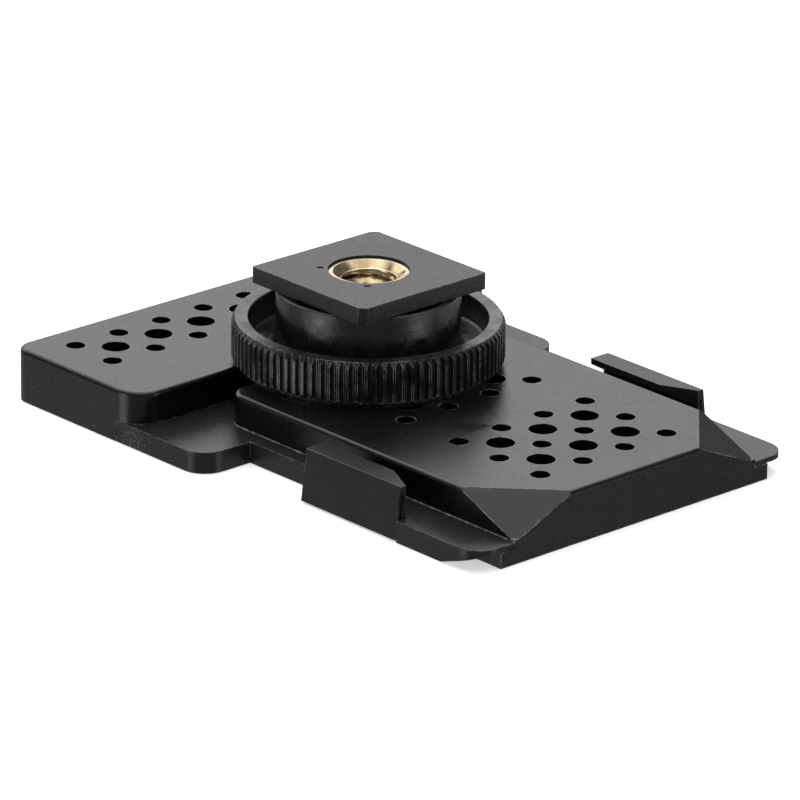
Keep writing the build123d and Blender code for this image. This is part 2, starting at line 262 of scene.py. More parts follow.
footLook = dict(plateLook, tone=0.012, roughness=0.3, specular=0.5, grainSize=0.22 * mm,
                grainDepth=0.05 * mm)
wheelLook = {
    "tone": 0.01, "wearAndHighlightTone": 0.42, "roughness": 0.25, "specular": 0.55, "rubDepth": 0.24,
    "grainSize": 0.2 * mm, "grainDepth": 0.035 * mm, "waveSize": 1.6 * mm, "waviness": 1.5,
    "turning": 0.5, "turningSize": 0.12 * mm, "edgeWidth": 0.12 * mm, "edgeWearAndHighlight": 1.0,
    # these settings place and colour the painted glint specks on the rim's low burrs
    "burrGlintSize": 0.3 * mm, "burrGlintLevel": 0.6, "burrGlintHeight": wheelLow.z + 0.6 * mm, "burrGlintTone": 0.5,
}
washerLook = dict(wheelLook, tone=0.004, roughness=0.35)
brassLook = {
    "bright": (0.66, 0.54, 0.35, 1), "dull": (0.36, 0.26, 0.14, 1), "rubbed": (0.95, 0.85, 0.64, 1),
    "pit": (0.3, 0.17, 0.06, 1), "pitSize": 0.12 * mm, "roughness": 0.12,
    "streakRough": 0.14, "streakSize": 0.25 * mm, "streakStretch": 6,
    "tarnishSize": 2.5 * mm, "grainDepth": 0.003 * mm, "edgeWidth": 0.08 * mm,
}
steelLook = dict(brassLook, bright=(0.62, 0.63, 0.64, 1), dull=(0.42, 0.42, 0.42, 1),
                 rubbed=(0.8, 0.8, 0.8, 1), pit=(0.12, 0.11, 0.1, 1), roughness=0.3)

platePlastic = mouldedPlastic("platePlastic", plateLook)
padPlastic = mouldedPlastic("padPlastic", padLook)
hookPlastic = mouldedPlastic("hookPlastic", hookLook)
footPlastic = mouldedPlastic("footPlastic", footLook)
wheelPlastic = satinPlastic("wheelPlastic", wheelLook)
washerPlastic = satinPlastic("washerPlastic", washerLook)
turnedBrass = brightMetal("turnedBrass", brassLook)
platedSteel = brightMetal("platedSteel", steelLook)
print("materials ready")


def roundCorners(corners, inset=0.0, steps=6):
    # corners are (x, y, radius), counterclockwise; an inset moves every side inwards
    count = len(corners)
    points = []
    for i, (x, y, radius) in enumerate(corners):
        here = Vector((x, y))
        before = (here - Vector(corners[i - 1][:2])).normalized()
        after = (Vector(corners[(i + 1) % count][:2]) - here).normalized()
        turn = before.x * after.y - before.y * after.x
        half = math.atan2(turn, before.dot(after)) / 2
        inward = Vector((-before.y, before.x)) + Vector((-after.y, after.x))
        here = here + inward.normalized() * (inset / math.cos(half))
        radius = max(radius - inset if turn > 0 else radius + inset, 0.01 * mm)
        if corners[i][2] == 0:
            points.append(here)
            continue
        cut = radius * abs(math.tan(half))
        side = 1 if turn > 0 else -1
        outwards = Vector((before.y, -before.x)) * radius * side
        middle = here - before * cut - outwards
        start = math.atan2(outwards.y, outwards.x)
        for step in range(steps + 1):
            angle = start + 2 * half * step / steps
            points.append(middle + Vector((math.cos(angle), math.sin(angle))) * radius)
    return points


def stackRings(rings, closed=False):
    # rings of the same number of points, joined by quads and closed at both ends
    mesh = bmesh.new()
    rows = [[mesh.verts.new(point) for point in ring] for ring in rings]
    pairs = list(zip(rows, rows[1:]))
    if closed:
        pairs.append((rows[-1], rows[0]))
    for low, high in pairs:
        for i in range(len(low)):
            j = (i + 1) % len(low)
            mesh.faces.new((low[i], low[j], high[j], high[i]))
    if not closed:
        mesh.faces.new(list(reversed(rows[0])))
        mesh.faces.new(rows[-1])
    return mesh


def slab(corners, levels, steps=6):
    # levels are (z, inset) from the bottom up
    rings = []
    for z, inset in levels:
        rings.append([(p.x, p.y, z) for p in roundCorners(corners, inset, steps)])
    return stackRings(rings)


def roundedTop(bottom, top, radius, steps=6):
    levels = [(bottom, 0.0)]
    for step in range(steps + 1):
        angle = math.pi / 2 * step / steps
        levels.append((top - radius + radius * math.sin(angle), radius * (1 - math.cos(angle))))
    return levels


def lathe(profile, steps, shape=None, x=None):
    # turns a closed (radius, z) outline round a vertical axis; shape may change the radius
    x = wheelX if x is None else x
    rings = []
    for radius, z in profile:
        ring = []
        for i in range(steps):
            angle = 2 * math.pi * i / steps
            r = shape(radius, z, angle) if shape else radius
            ring.append((x + r * math.cos(angle), r * math.sin(angle), z))
        rings.append(ring)
    return stackRings(rings, closed=True)


def cylinder(x, y, radius, low, high, steps=48):
    rings = []
    for z in (low, high):
        rings.append([(x + radius * math.cos(2 * math.pi * i / steps),
                       y + radius * math.sin(2 * math.pi * i / steps), z) for i in range(steps)])
    return stackRings(rings)


def prism(outline, low, high, axis="z"):
    # an outline pushed along z, or along x with the outline read as (y, z)
    if axis == "z":
        return stackRings([[(a, b, level) for a, b in outline] for level in (low, high)])
    return stackRings([[(level, a, b) for a, b in outline] for level in (low, high)])


def makeObject(name, mesh):
    bmesh.ops.remove_doubles(mesh, verts=mesh.verts, dist=0.0005 * mm)
    bmesh.ops.recalc_face_normals(mesh, faces=mesh.faces)
    data = bpy.data.meshes.new(name)
    mesh.to_mesh(data)
    mesh.free()
    made = bpy.data.objects.new(name, data)
    bpy.context.scene.collection.objects.link(made)
    return made


def bake(piece):
    # the evaluated result becomes the piece's plain mesh
    bpy.context.view_layer.update()
    graph = bpy.context.evaluated_depsgraph_get()
    data = bpy.data.meshes.new_from_object(piece.evaluated_get(graph))
    piece.modifiers.clear()
    piece.data = data
    return piece


def carve(piece, tool, operation="DIFFERENCE"):
    change = piece.modifiers.new("carve", "BOOLEAN")
    change.object = tool
    change.operation = operation
    change.solver = "EXACT"
    bake(piece)
    bpy.data.objects.remove(tool)
    return piece


def cadCopy(name, node):
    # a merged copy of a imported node, its flat areas joined up again
    mesh = bmesh.new()
    mesh.from_mesh(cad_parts[node].data)
    bmesh.ops.remove_doubles(mesh, verts=mesh.verts, dist=0.002 * mm)
    bmesh.ops.dissolve_limit(mesh, angle_limit=math.radians(0.4), verts=mesh.verts, edges=mesh.edges)
    return makeObject(name, mesh)


def finishPiece(piece, body, material, nodes, edge=0.0, segments=2, sharp=32):
    data = piece.data
    data.materials.clear()
    data.materials.append(material)
    data.shade_smooth()
    if edge:
        bevel = piece.modifiers.new("softEdges", "BEVEL")
        bevel.width = edge
        bevel.segments = segments
        bevel.limit_method = "ANGLE"
        bevel.angle_limit = math.radians(sharp)
        bevel.harden_normals = False
        bevel.miter_outer = "MITER_ARC"
        bake(piece)
        piece.data.shade_smooth()
    piece.data.set_sharp_from_angle(angle=math.radians(sharp))
    weight = piece.modifiers.new("evenNormals", "WEIGHTED_NORMAL")
    weight.keep_sharp = True
    bake(piece)
    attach(piece, body)
    if nodes:
        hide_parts(*nodes)
    print("made", piece.name, len(piece.data.polygons), "faces")
    return piece


def startTree(name, sockets):
    tree = bpy.data.node_groups.new(name, "GeometryNodeTree")
    tree.interface.new_socket("Geometry", in_out="INPUT", socket_type="NodeSocketGeometry")
    for label, kind in sockets:
        tree.interface.new_socket(label, in_out="INPUT", socket_type=kind)
    tree.interface.new_socket("Geometry", in_out="OUTPUT", socket_type="NodeSocketGeometry")
    entry = tree.nodes.new("NodeGroupInput")
    inputs = {s.name: Wire(tree, s) for s in entry.outputs if s.name}
    return tree, inputs


def endTree(tree, geometry, material):
    whole = geometry.node("GeometryNodeRealizeInstances", None, {0: geometry})
    painted = whole.node("GeometryNodeSetMaterial", None, {"Geometry": whole, "Material": material})
    exitNode = tree.nodes.new("NodeGroupOutput")
    tree.links.new(painted.socket, exitNode.inputs[0])


def useTree(piece, tree, values):
    modifier = piece.modifiers.new(tree.name, "NODES")
    modifier.node_group = tree
    keys = {item.name: item.identifier for item in tree.interface.items_tree if item.in_out == "INPUT"}
    for label, value in values.items():
        modifier[keys[label]] = value
    return bake(piece)


def perforationTree():
    # small holes on a grid and a large one in the middle of each of its cells
    floats = ["Pitch X", "Pitch Y", "Small Hole", "Large Hole", "Centre X", "Centre Y", "Height", "Depth"]
    sockets = [("Columns", "NodeSocketInt"), ("Rows", "NodeSocketInt")]
    sockets += [(label, "NodeSocketFloat") for label in floats] + [("Material", "NodeSocketMaterial")]
    tree, given = startTree("perforate", sockets)
    body = given["Geometry"]
    centre = joined(given["Centre X"], given["Centre Y"], given["Height"])
    for label, less in (("Small Hole", 0), ("Large Hole", 1)):
        columns = given["Columns"] - less
        rows = given["Rows"] - less
        grid = body.node("GeometryNodeMeshGrid", None, {
            "Size X": given["Pitch X"] * (columns - 1), "Size Y": given["Pitch Y"] * (rows - 1),
            "Vertices X": columns, "Vertices Y": rows})
        spots = grid.node("GeometryNodeTransform", None, {"Geometry": grid, "Translation": centre})
        drill = body.node("GeometryNodeMeshCylinder", None, {
            "Vertices": 36, "Radius": given[label] / 2, "Depth": given["Depth"]})
        drills = spots.node("GeometryNodeInstanceOnPoints", None, {"Points": spots, "Instance": drill})
        drills = drills.node("GeometryNodeRealizeInstances", None, {0: drills})
        body = body.node("GeometryNodeMeshBoolean", {"operation": "DIFFERENCE", "solver": "EXACT"},
                         {"Mesh 1": body, "Mesh 2": drills})
    endTree(tree, body, given["Material"])
    return tree


def fluteTree():
    # straight round-bottomed flutes pressed into everything outside the root radius
    sockets = [("Flute Count", "NodeSocketFloat"), ("Crest Radius", "NodeSocketFloat"),
               ("Flute Depth", "NodeSocketFloat"), ("Crest Width", "NodeSocketFloat"),
               ("Axis X", "NodeSocketFloat"), ("Material", "NodeSocketMaterial")]
    tree, given = startTree("fluteRim", sockets)
    body = given["Geometry"]
    here = body.node("GeometryNodeInputPosition")
    fromOrigin, across, up = here.parts()
    along = fromOrigin - given["Axis X"]
    radius = (along * along + across * across) ** 0.5
    angle = across.maths("ARCTAN2", across, along)
    flutes = angle / (2 * math.pi) * given["Flute Count"]
    share = flutes.maths("FRACT", flutes) * 2 - 1
    side = share.maths("ABSOLUTE", share) / (1 - given["Crest Width"])
    side = side.maths("MINIMUM", side, 1.0)
    limit = given["Crest Radius"] - given["Flute Depth"] * (1 - side * side) ** 0.5
    pressed = radius.maths("MINIMUM", radius, limit)
    scale = pressed / radius
    place = joined(along * scale + given["Axis X"], across * scale, up)
    shaped = body.node("GeometryNodeSetPosition", None, {"Geometry": body, "Position": place})
    endTree(tree, shaped, given["Material"])
    return tree


def scatterTree():
    # one copy of a fastener at every point
    tree, given = startTree("placeScrews", [("Screw", "NodeSocketObject"), ("Turn", "NodeSocketFloat"),
                                            ("Material", "NodeSocketMaterial")])
    spots = given["Geometry"]
    screw = spots.node("GeometryNodeObjectInfo", {"transform_space": "ORIGINAL"},
                       {"Object": given["Screw"]}, "Geometry")
    number = spots.node("GeometryNodeInputIndex")
    turn = spots.node("ShaderNodeCombineXYZ", None, {2: number * given["Turn"]})
    placed = spots.node("GeometryNodeInstanceOnPoints", None,
                        {"Points": spots, "Instance": screw, "Rotation": turn})
    endTree(tree, placed, given["Material"])
    return tree


perforate = perforationTree()
fluteRim = fluteTree()
placeScrews = scatterTree()


holes = {
    "pitchX": 6.4 * mm, "pitchY": 6.3 * mm, "small": 2.2 * mm, "large": 3.2 * mm,
    "rowShift": 0.55 * mm, "endStart": 4.6 * mm, "endRows": 8, "tipStart": 5.8 * mm,
    "endColumns": 2, "tipColumns": 3, "middleColumns": 2, "centreRows": 4, "groupGap": 8.55 * mm,
    "drillDepth": 3.8 * mm,
}


def perforatePad(piece, firstColumn, columns, rows):
    return useTree(piece, perforate, {
        "Columns": columns, "Rows": rows, "Pitch X": holes["pitchX"], "Pitch Y": holes["pitchY"],
        "Small Hole": holes["small"], "Large Hole": holes["large"],
        "Centre X": firstColumn + (columns - 1) * holes["pitchX"] / 2, "Centre Y": holes["rowShift"],
        "Height": padTop, "Depth": holes["drillDepth"], "Material": padPlastic})


endPad = {
    "plateTop": 2.5 * mm, "wall": 1.5 * mm, "edge": 0.5 * mm, "corner": 3.5 * mm, "outerCorner": 2.3 * mm,
    "softEdge": 0.07 * mm, "sharp": 22,
}


def makeEndPad():
    s = endPad
    x0, x1, half = endLow.x, endHigh.x, endHigh.y
    skirtEnd = x1 - s["corner"]
    wall = s["wall"]
    outline = [(x0, -half, s["outerCorner"]), (x1, -half, s["corner"]),
               (x1, half, s["corner"]), (x0, half, s["outerCorner"])]
    pad = makeObject("endPad", slab(outline, roundedTop(s["plateTop"], padTop, s["edge"]), 8))
    skirtOutline = [(x0, -half, s["outerCorner"]), (skirtEnd, -half, 0), (skirtEnd, half, 0),
                    (x0, half, s["outerCorner"])]
    skirt = slab(skirtOutline, [(0, 0), (s["plateTop"] + 0.4 * mm, 0)], 8)
    carve(pad, makeObject("skirt", skirt), "UNION")
    inner = half - wall
    under = [(x0 + wall, -inner), (x1 + 1 * mm, -inner), (x1 + 1 * mm, inner), (x0 + wall, inner)]
    carve(pad, makeObject("under", prism(under, -1 * mm, s["plateTop"])))
    hollow = [(x0 + wall, -inner, 0.3 * mm), (x1 - wall, -inner, 2 * mm), (x1 - wall, inner, 2 * mm),
              (x0 + wall, inner, 0.3 * mm)]
    carve(pad, makeObject("hollow", slab(hollow, [(s["plateTop"] - 0.5 * mm, 0), (padTop - wall, 0)])))
    perforatePad(pad, x0 + holes["endStart"], holes["endColumns"], holes["endRows"])
    return finishPiece(pad, "plate", padPlastic, ["end_pad"], s["softEdge"], 2, s["sharp"])


centerPad = {
    "plateTop": 2.5 * mm, "wall": 1.5 * mm, "edge": 0.5 * mm, "corner": 2.35 * mm, "cutX": 8.9 * mm,
    "cutY": 8.75 * mm, "ledge": 1.95 * mm, "postGap": 0.25 * mm, "post": 7.0 * mm, "tip": 0.6 * mm,
    "ramp": 5.7 * mm, "seam": 0.05 * mm, "bead": 0.09 * mm, "softEdge": 0.07 * mm, "sharp": 22,
}


def cutCorners(mesh, right, half, inset):
    # slants the two top corners at the tongue's tip
    s = centerPad
    height = padTop - s["plateTop"]
    slope = math.sqrt(s["cutX"] ** -2 + s["cutY"] ** -2 + height ** -2)
    for side in (-1, 1):
        normal = Vector((1 / s["cutX"], side / s["cutY"], 1 / height)).normalized()
        point = Vector((right - s["cutX"] * (1 + inset * slope), side * half, padTop))
        everything = mesh.verts[:] + mesh.edges[:] + mesh.faces[:]
        cut = bmesh.ops.bisect_plane(mesh, geom=everything, plane_co=point, plane_no=normal,
                                     clear_outer=True, dist=0.0001 * mm)
        rim = [e for e in cut["geom_cut"] if isinstance(e, bmesh.types.BMEdge)]
        bmesh.ops.holes_fill(mesh, edges=rim, sides=0)
    return mesh


def makeCenterPad():
    s = centerPad
    x0, x1, tongue = centerLow.x, centerHigh.x, centerHigh.y
    half = tongue - s["ledge"]
    wall = s["wall"]
    outline = [(x0, -half, s["corner"]), (x1, -half, 0), (x1, half, 0), (x0, half, s["corner"])]
    bead = s["bead"]
    levels = [(s["plateTop"], -bead), (s["plateTop"] + bead * 0.6, -bead), (s["plateTop"] + bead * 1.4, 0)]
    levels += roundedTop(s["plateTop"] + bead * 2, padTop, s["edge"])
    pad = slab([(x0 + bead, *outline[0][1:]), *outline[1:3], (x0 + bead, *outline[3][1:])], levels, 8)
    pad = makeObject("centerPad", cutCorners(pad, x1, half, 0))
    over = [(-half - mm, 0), (half + mm, 0), (half + mm, padTop + mm), (-half - mm, padTop + mm)]
    carve(pad, makeObject("over", prism(over, x1, x1 + mm, "x")))
    apron = [(-half, 0), (half, 0), (half, s["plateTop"] + 0.3 * mm), (-half, s["plateTop"] + 0.3 * mm)]
    carve(pad, makeObject("apron", prism(apron, x1 - wall, x1, "x")), "UNION")
    # the apron's ears stop under the flanges' thin tips
    low = (s["ramp"] - wall) / s["ramp"] * (s["plateTop"] - s["tip"]) - s["seam"]
    high = s["plateTop"] - s["tip"] - s["seam"]
    for side in (-1, 1):
        ear = bmesh.new()
        sideIn, sideOut = side * (half - 0.2 * mm), side * tongue
        corners = [(x1 - wall, 0), (x1, 0), (x1, high), (x1 - wall, low)]
        inner = [ear.verts.new((x, sideIn, z)) for x, z in corners]
        outer = [ear.verts.new((x, sideOut, z)) for x, z in corners]
        ear.faces.new(inner)
        ear.faces.new(list(reversed(outer)))
        for i in range(4):
            ear.faces.new((inner[i], outer[i], outer[(i + 1) % 4], inner[(i + 1) % 4]))
        carve(pad, makeObject("ear", ear), "UNION")
    inner = half - wall
    hollow = slab([(x0 + wall, -inner, 1.5 * mm), (x1 - wall, -inner, 0), (x1 - wall, inner, 0),
                   (x0 + wall, inner, 1.5 * mm)], [(s["plateTop"] - 0.5 * mm, 0), (padTop - wall, 0)])
    hollow = makeObject("hollow", cutCorners(hollow, x1, half, wall))
    post = s["post"] + s["postGap"]
    carve(hollow, makeObject("postWall", cylinder(wheelX, 0, post + wall, 0, padTop, 96)))
    carve(pad, hollow)
    carve(pad, makeObject("postHole", cylinder(wheelX, 0, post, 0, padTop + 1 * mm, 96)))
    tipFirst = x1 - holes["tipStart"] - (holes["tipColumns"] - 1) * holes["pitchX"]
    perforatePad(pad, tipFirst, holes["tipColumns"], holes["centreRows"])
    middleFirst = tipFirst - holes["groupGap"] - (holes["middleColumns"] - 1) * holes["pitchX"]
    perforatePad(pad, middleFirst, holes["middleColumns"], holes["centreRows"])
    return finishPiece(pad, "plate", padPlastic, ["center_pad"],
                       s["softEdge"], 2, s["sharp"])


makeEndPad()
makeCenterPad()
print("pads ready")


basePlate = {"softEdge": 0.12 * mm, "segments": 3, "sharp": 28}


def makeBasePlate():
    s = basePlate
    plate = cadCopy("basePlate", "base_plate")
    return finishPiece(plate, "plate", platePlastic, ["base_plate"],
                       s["softEdge"], s["segments"], s["sharp"])


hook = {
    "slitFrom": 0.36 * mm, "slitTo": 0.66 * mm, "slitDepth": 0.5 * mm, "slitLow": 1.6 * mm,
    "slitHigh": 5.0 * mm, "lean": 0.127, "softEdge": 0.2 * mm, "segments": 3, "sharp": 28,
}


def makeHook(name, node, body, side):
    # the front end carries a narrow slit between the wall and its inner rib
    s = hook
    made = cadCopy(name, node)
    outer = hookLow.y * -side
    low, high = s["slitLow"], s["slitHigh"]
    outline = []
    for z, inset in ((low, s["slitFrom"]), (low, s["slitTo"]), (high, s["slitTo"]), (high, s["slitFrom"])):
        outline.append((outer - side * (inset + s["lean"] * z), z))
    carve(made, makeObject("slit", prism(outline, hookHigh.x - s["slitDepth"], hookHigh.x + mm, "x")))
    return finishPiece(made, body, hookPlastic, [node],
                       s["softEdge"], s["segments"], s["sharp"])


makeBasePlate()
makeHook("frontHook", "side_hook_front", "hook_front", -1)
makeHook("backHook", "side_hook_back", "hook_back", 1)
print("plate and hooks ready")


wheel = {
    "crest": 15.3 * mm, "land": 14.88 * mm, "rimInner": 13.4 * mm, "rimHeight": 4.8 * mm,
    "flutes": 92, "fluteDepth": 0.42 * mm, "crestWidth": 0.3, "stepsPerFlute": 14,
    "chamferTop": 0.62 * mm, "chamferLow": 0.35 * mm, "lowLip": 0.3 * mm, "innerEdge": 0.15 * mm,
    "cupFloor": 1.6 * mm, "cupRound": 0.5 * mm, "column": 10.35 * mm, "columnEdge": 0.25 * mm,
    "dishLand": 0.35 * mm, "dishDepth": 1.2 * mm, "dishRound": 0.2 * mm, "dishInner": 7.6 * mm,
    "threadBore": 5.85 * mm, "hubBore": 7.1 * mm, "hubTop": 2.75 * mm, "grooveRadius": 7.8 * mm,
    "grooveGap": 0.05 * mm, "soft": 0.08 * mm, "sharp": 24,
}


def makeWheel():
    s = wheel
    low, top = wheelLow.z, wheelHigh.z
    rimTop = low + s["rimHeight"]
    cup = low + s["cupFloor"]
    dish = top - s["dishDepth"]
    hubTop = low + s["hubTop"]
    soft = s["soft"]
    grooveLow = ringLow.z - s["grooveGap"]
    grooveTop = ringHigh.z + s["grooveGap"]
    profile = [
        (s["hubBore"], low, soft), (s["crest"] - s["lowLip"], low, 0),
        (s["crest"], low + s["chamferLow"], 0), (s["crest"], rimTop - s["chamferTop"], 0),
        (s["land"], rimTop, 0), (s["rimInner"], rimTop, s["innerEdge"]),
        (s["rimInner"], cup, s["cupRound"]), (s["column"], cup, s["cupRound"]),
        (s["column"], top, s["columnEdge"]), (s["column"] - s["dishLand"] * 1.6, top, soft),
        (s["column"] - s["dishLand"] * 2.2, dish, s["dishRound"]),
        (s["dishInner"], dish, s["dishRound"]), (s["dishInner"], top, soft),
        (s["threadBore"], top, soft), (s["threadBore"], hubTop, 0), (s["hubBore"], hubTop, 0),
        (s["hubBore"], grooveTop, 0), (s["grooveRadius"], grooveTop, 0),
        (s["grooveRadius"], grooveLow, 0), (s["hubBore"], grooveLow, 0),
    ]
    outline = [(p.x, p.y) for p in roundCorners(profile, 0, 4)]
    # the flutes' slanted ends get extra levels
    fine = []
    levels = 7
    for i, (radius, z) in enumerate(outline):
        fine.append((radius, z))
        nextRadius, nextZ = outline[(i + 1) % len(outline)]
        wider, higher = nextRadius - radius, nextZ - z
        onRim = min(radius, nextRadius) > s["rimInner"] + 1.0 * mm
        if onRim and min(abs(wider), abs(higher)) > 0.1 * mm:
            fine += [(radius + wider * k / levels, z + higher * k / levels) for k in range(1, levels)]
    made = makeObject("lockWheel", lathe(fine, s["flutes"] * s["stepsPerFlute"]))
    useTree(made, fluteRim, {
        "Flute Count": float(s["flutes"]), "Crest Radius": s["crest"], "Flute Depth": s["fluteDepth"],
        "Crest Width": s["crestWidth"], "Axis X": wheelX, "Material": wheelPlastic})
    return finishPiece(made, "wheel", wheelPlastic, ["lock_wheel"], sharp=s["sharp"])


makeWheel()
print("wheel ready")


foot = {
    "thickness": 1.95 * mm, "corner": 0.75 * mm, "easedCorner": 0.2 * mm, "upright": 0.1 * mm,
    "edge": 0.1 * mm, "stem": 5.8 * mm, "threadDepth": 0.6 * mm, "pitch": 1.5 * mm, "fade": 0.8 * mm,
    "stemBottom": 9.5 * mm, "stemBore": 2.0 * mm, "screwBore": 1.52 * mm, "screwEnd": 8.4 * mm,
    "keyRadius": 4.2 * mm, "keyHalf": 3.4 * mm, "keyBottom": 1.65 * mm, "pocket": 4.6 * mm,
    "pocketDepth": 7.0 * mm, "dimples": [(-3.9 * mm, -3.85 * mm), (4.0 * mm, -3.85 * mm)],
    "dimple": 0.45 * mm, "dimpleDepth": 0.12 * mm, "sharp": 30,
}


def chamferedSquare(half, cut, eased):
    # two corners cut wide and two barely, across the diagonals
    points = []
    for x, y in ((1, -1), (1, 1), (-1, 1), (-1, -1)):
        corner = cut if x * y < 0 else eased
        first, second = (x * half, y * (half - corner)), (x * (half - corner), y * half)
        pair = (second, first) if x * y < 0 else (first, second)
        points += [(wheelX + a, b, foot["upright"]) for a, b in pair]
    return points


def threadWave(z, angle, pitch):
    # 0 at the root and 1 on the crest of a right-hand thread
    share = (z / pitch - angle / (2 * math.pi)) % 1.0
    return min(1.0, max(0.0, (abs(share * 2 - 1) - 0.12) / 0.76))


def threadLevels(low, high, pitch, steps=12):
    count = int((high - low) / pitch * steps)
    return [low + (high - low) * k / count for k in range(count + 1)]


def makeFoot():
    s = foot
    half = (footHigh.x - footLow.x) / 2
    top = footHigh.z
    bottom = top - s["thickness"]
    e = s["edge"]
    levels = [(bottom, e * 0.7), (bottom + e * 0.3, e * 0.3), (bottom + e, 0), (top - e, 0),
              (top - e * 0.3, e * 0.3), (top, e * 0.9)]
    made = makeObject("shoeFoot", slab(chamferedSquare(half, s["corner"], s["easedCorner"]), levels))
    zs = threadLevels(s["stemBottom"] + 0.4 * mm, bottom - 0.5 * mm, s["pitch"])
    crest, root = s["stem"], s["stem"] - s["threadDepth"]
    inner = s["stemBore"]
    profile = [(inner, bottom + 0.4 * mm), (inner, s["stemBottom"]), (root, s["stemBottom"])]
    profile += [(crest, z) for z in zs] + [(root, bottom - 0.3 * mm), (root, bottom + 0.4 * mm)]

    def shape(radius, z, angle):
        if radius < crest:
            return radius
        fade = min(1.0, (z - zs[0]) / s["fade"], (zs[-1] - z) / s["fade"])
        return root + (crest - root) * threadWave(z, angle, s["pitch"]) * max(0.0, fade)

    carve(made, makeObject("stem", lathe(profile, 120, shape)), "UNION")
    keyTop = s["stemBottom"] + 0.5 * mm
    key = makeObject("key", cylinder(wheelX, 0, s["keyRadius"], s["keyBottom"], keyTop, 96))
    flats = [(wheelX - 9 * mm, -s["keyHalf"]), (wheelX + 9 * mm, -s["keyHalf"]),
             (wheelX + 9 * mm, s["keyHalf"]), (wheelX - 9 * mm, s["keyHalf"])]
    carve(key, makeObject("flats", prism(flats, 0, top)), "INTERSECT")
    carve(made, key, "UNION")
    pocket = cylinder(wheelX, 0, s["pocket"], top - s["pocketDepth"], top + mm, 96)
    carve(made, makeObject("pocket", pocket))
    carve(made, makeObject("screwHole", cylinder(wheelX, 0, s["screwBore"], 0, s["screwEnd"], 32)))
    for x, y in s["dimples"]:
        drill = cylinder(wheelX + x, y, s["dimple"], top - s["dimpleDepth"], top + mm, 24)
        carve(made, makeObject("dimple", drill))
    return finishPiece(made, "foot", footPlastic, ["shoe_foot"], sharp=s["sharp"])


insert = {
    "land": 0.6 * mm, "mouthDepth": 0.85 * mm, "mouth": 3.15 * mm, "crest": 2.6 * mm, "root": 3.1 * mm,
    "pitch": 1.27 * mm, "threadStart": 0.9 * mm, "edge": 0.1 * mm, "sharp": 26,
}


def makeInsert():
    s = insert
    radius = (insertHigh.x - insertLow.x) / 2
    low, top = insertLow.z, insertHigh.z
    mouth = top - s["mouthDepth"]
    e = s["edge"]
    outer = [(radius, low), (radius, top - e), (radius - 0.3 * e, top - 0.3 * e), (radius - e, top)]
    lip = radius - s["land"]
    outer += [(lip + 0.06 * mm, top), (lip, top - 0.04 * mm)]
    zs = list(reversed(threadLevels(low, mouth, s["pitch"])))
    profile = outer + [(s["mouth"] + 0.04 * mm, mouth + 0.03 * mm)] + [(s["crest"], z) for z in zs]

    def shape(r, z, angle):
        if r > s["crest"]:
            return r
        start = min(1.0, (mouth - z) / s["threadStart"])
        wave = threadWave(z, angle, s["pitch"]) * start
        return s["root"] + (s["crest"] - s["root"]) * wave

    made = makeObject("brassInsert", lathe(profile, 128, shape))
    return finishPiece(made, "foot", turnedBrass, ["threaded_insert"], sharp=s["sharp"])


makeFoot()
makeInsert()
print("foot and insert ready")


ringSizes = {
    "thrustInner": 7.1 * mm, "thrustEdge": 0.08 * mm, "retainingInner": 6.65 * mm,
    "retainingOuter": 7.7 * mm, "retainingEdge": 0.06 * mm, "splitHalf": 0.8 * mm, "splitLength": 12 * mm,
    "stopInner": 1.6 * mm, "stopEdge": 0.08 * mm,
}


def ringShape(name, inner, outer, low, high, edge):
    profile = [(inner, low, edge), (outer, low, edge), (outer, high, edge), (inner, high, edge)]
    return makeObject(name, lathe([(p.x, p.y) for p in roundCorners(profile, 0, 3)], 144))


def makeRings():
    s = ringSizes
    thrust = ringShape("thrustWasher", s["thrustInner"], (thrustHigh.x - thrustLow.x) / 2,
                       thrustLow.z, thrustHigh.z, s["thrustEdge"])
    finishPiece(thrust, "plate", washerPlastic, ["thrust_washer"])
    retaining = ringShape("retainingRing", s["retainingInner"], s["retainingOuter"],
                          ringLow.z, ringHigh.z, s["retainingEdge"])
    gapEnd, half = wheelX + s["splitLength"], s["splitHalf"]
    gap = [(wheelX, -half), (gapEnd, -half), (gapEnd, half), (wheelX, half)]
    carve(retaining, makeObject("gap", prism(gap, ringLow.z - mm, ringHigh.z + mm)))
    finishPiece(retaining, "plate", platedSteel, ["wheel_retaining_ring"])
    stop = ringShape("stopWasher", s["stopInner"], (washerHigh.x - washerLow.x) / 2,
                     washerLow.z, washerHigh.z, s["stopEdge"])
    finishPiece(stop, "foot", platedSteel, ["stem_stop_washer"])


makeRings()

padScrew = {
    "head": 1.9 * mm, "shank": 1.0 * mm, "core": 0.78 * mm, "sink": 0.15 * mm, "headDepth": 0.9 * mm,
    "length": 5.0 * mm, "pitch": 0.7 * mm, "turn": 0.9,
    "crossLong": 1.05 * mm, "crossWide": 0.22 * mm, "crossDepth": 0.55 * mm,
}


def makeScrewShape():
    s = padScrew
    low = s["sink"]
    tip = low + s["length"]
    zs = threadLevels(low + s["headDepth"] + 0.2 * mm, tip - 0.6 * mm, s["pitch"], 8)
    centre = 0.02 * mm
    profile = [(centre, low), (s["head"] - 0.08 * mm, low), (s["head"], low + 0.06 * mm),
               (s["shank"], low + s["headDepth"])]
    profile += [(s["shank"], z) for z in zs] + [(0.3 * mm, tip), (centre, tip)]

    def shape(radius, z, angle):
        if z < zs[0] or z > zs[-1] or radius < s["core"]:
            return radius
        return s["core"] + (s["shank"] - s["core"]) * threadWave(z, angle, s["pitch"])

    screw = makeObject("screwShape", lathe(profile, 28, shape, 0.0))
    for long, wide in ((s["crossLong"], s["crossWide"]), (s["crossWide"], s["crossLong"])):
        arm = [(-long, -wide), (long, -wide), (long, wide), (-long, wide)]
        carve(screw, makeObject("arm", prism(arm, low - mm, low + s["crossDepth"])))
    return screw


